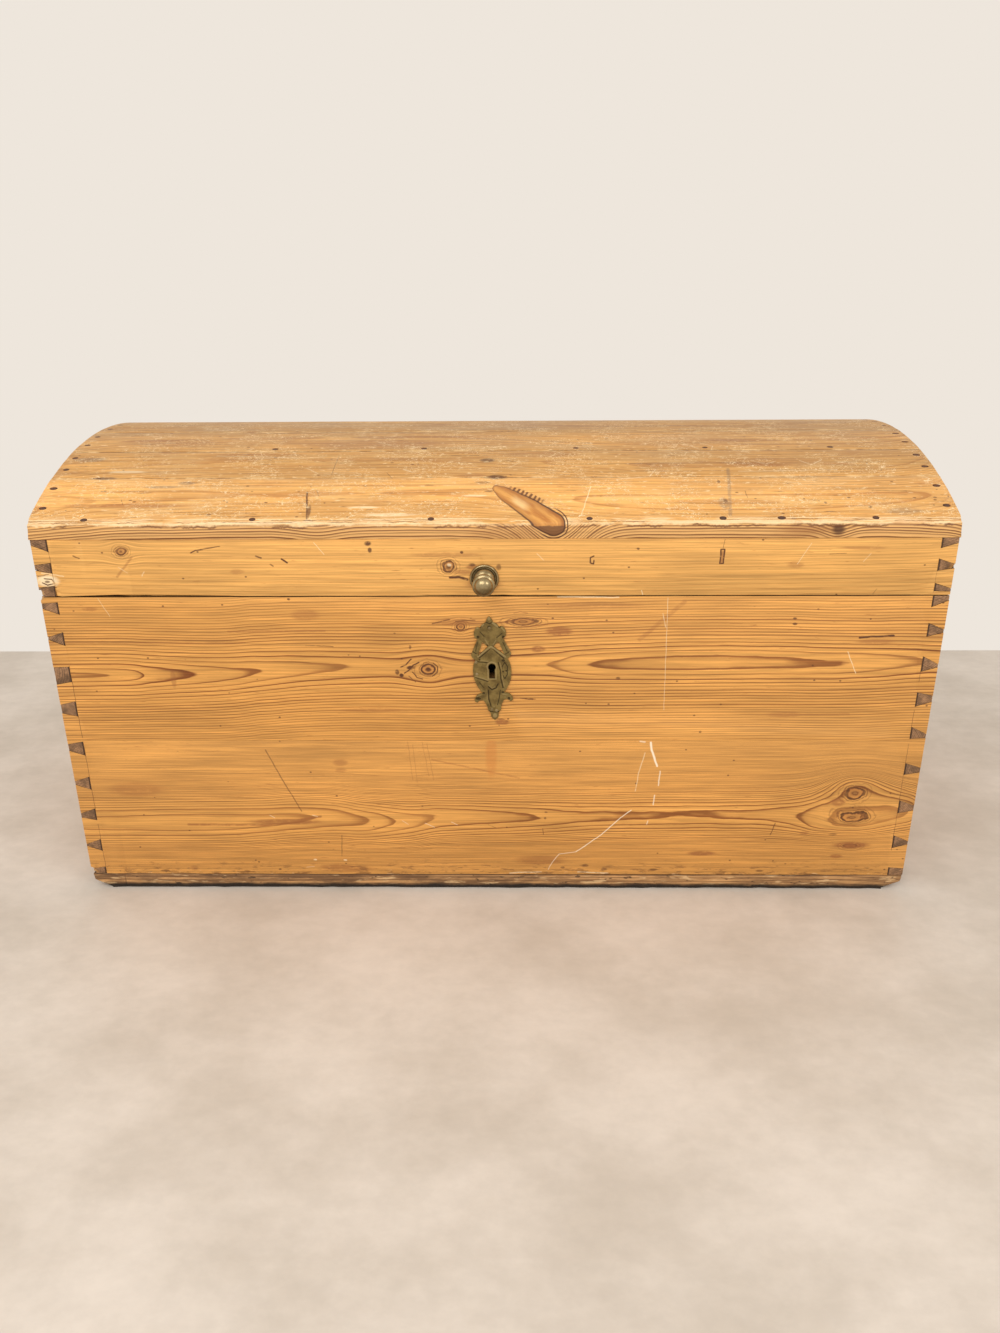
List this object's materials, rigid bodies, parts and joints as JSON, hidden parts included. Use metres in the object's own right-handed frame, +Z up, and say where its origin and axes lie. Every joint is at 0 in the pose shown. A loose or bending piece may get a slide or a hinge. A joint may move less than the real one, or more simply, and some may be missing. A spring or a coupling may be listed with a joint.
{
  "type": "dome top trunk",
  "caption": "Dovetailed pine trunk with a low arched lid on strap hinges, a turned brass pull, and a pierced brass key plate over a box lock.",
  "frame": {"origin": "on the floor, under the middle of the trunk's front and back faces and of its two ends", "axes": "+X along the trunk to the right as seen from its front, +Y to the back, where the hinges are, +Z up"},
  "size_m": [1.08, 0.6041, 0.5675],
  "materials": {
    "pine_boards": "waxed, worn",
    "pine_planks": "waxed, dusty",
    "pine_inside": "bare, sawn",
    "aged_brass": "aged, brown in the hollows",
    "dark_iron": "dark, lightly rusted",
    "cut_nails": "dark, rusted"
  },
  "bodies": {
    "chest": {"front_upper_board": "pine_boards", "front_lower_board": "pine_boards", "back_upper_board": "pine_boards", "back_lower_board": "pine_boards", "left_end_upper_board": "pine_boards", "left_end_lower_board": "pine_boards", "right_end_upper_board": "pine_boards", "right_end_lower_board": "pine_boards", "floor_front_board": "pine_inside", "floor_middle_board": "pine_inside", "floor_back_board": "pine_inside", "floor_nails": "cut_nails", "escutcheon": "aged_brass", "escutcheon_pins": "aged_brass", "lock_plate": "dark_iron", "lock_case": "dark_iron", "lock_posts": "dark_iron", "lock_spring": "dark_iron", "lock_drill_pin": "dark_iron", "lock_nails": "dark_iron", "left_hinge_chest_strap": "dark_iron", "right_hinge_chest_strap": "dark_iron", "left_hinge_pin": "dark_iron", "right_hinge_pin": "dark_iron", "hinge_chest_nails": "dark_iron"},
    "lock_bolt": {"lock_bolt": "dark_iron"},
    "lid": {"lid_front_rail": "pine_boards", "lid_back_rail": "pine_boards", "lid_left_end": "pine_boards", "lid_right_end": "pine_boards", "dome_plank_1": "pine_planks", "dome_plank_2": "pine_planks", "dome_plank_3": "pine_planks", "dome_plank_4": "pine_planks", "dome_plank_5": "pine_planks", "dome_plank_6": "pine_planks", "dome_plank_7": "pine_planks", "dome_front_batten": "pine_inside", "dome_back_batten": "pine_inside", "dome_nails": "cut_nails", "left_hinge_lid_strap": "dark_iron", "right_hinge_lid_strap": "dark_iron", "hinge_lid_nails": "dark_iron", "lock_staple": "dark_iron", "lock_staple_nails": "dark_iron", "knob_rosette": "aged_brass", "knob": "aged_brass", "knob_washer": "dark_iron", "knob_nut": "dark_iron"}
  },
  "joints": [
    {"name": "lid_hinge", "type": "hinge", "parent": "chest", "child": "lid", "pos_m": [0, 0.283, 0.4104], "axis": [-1, 0, 0], "range_deg": [0, 105]},
    {"name": "lock_bolt_slide", "type": "slide", "parent": "chest", "child": "lock_bolt", "axis": [1, 0, 0], "range_m": [0, 0.012]}
  ]
}
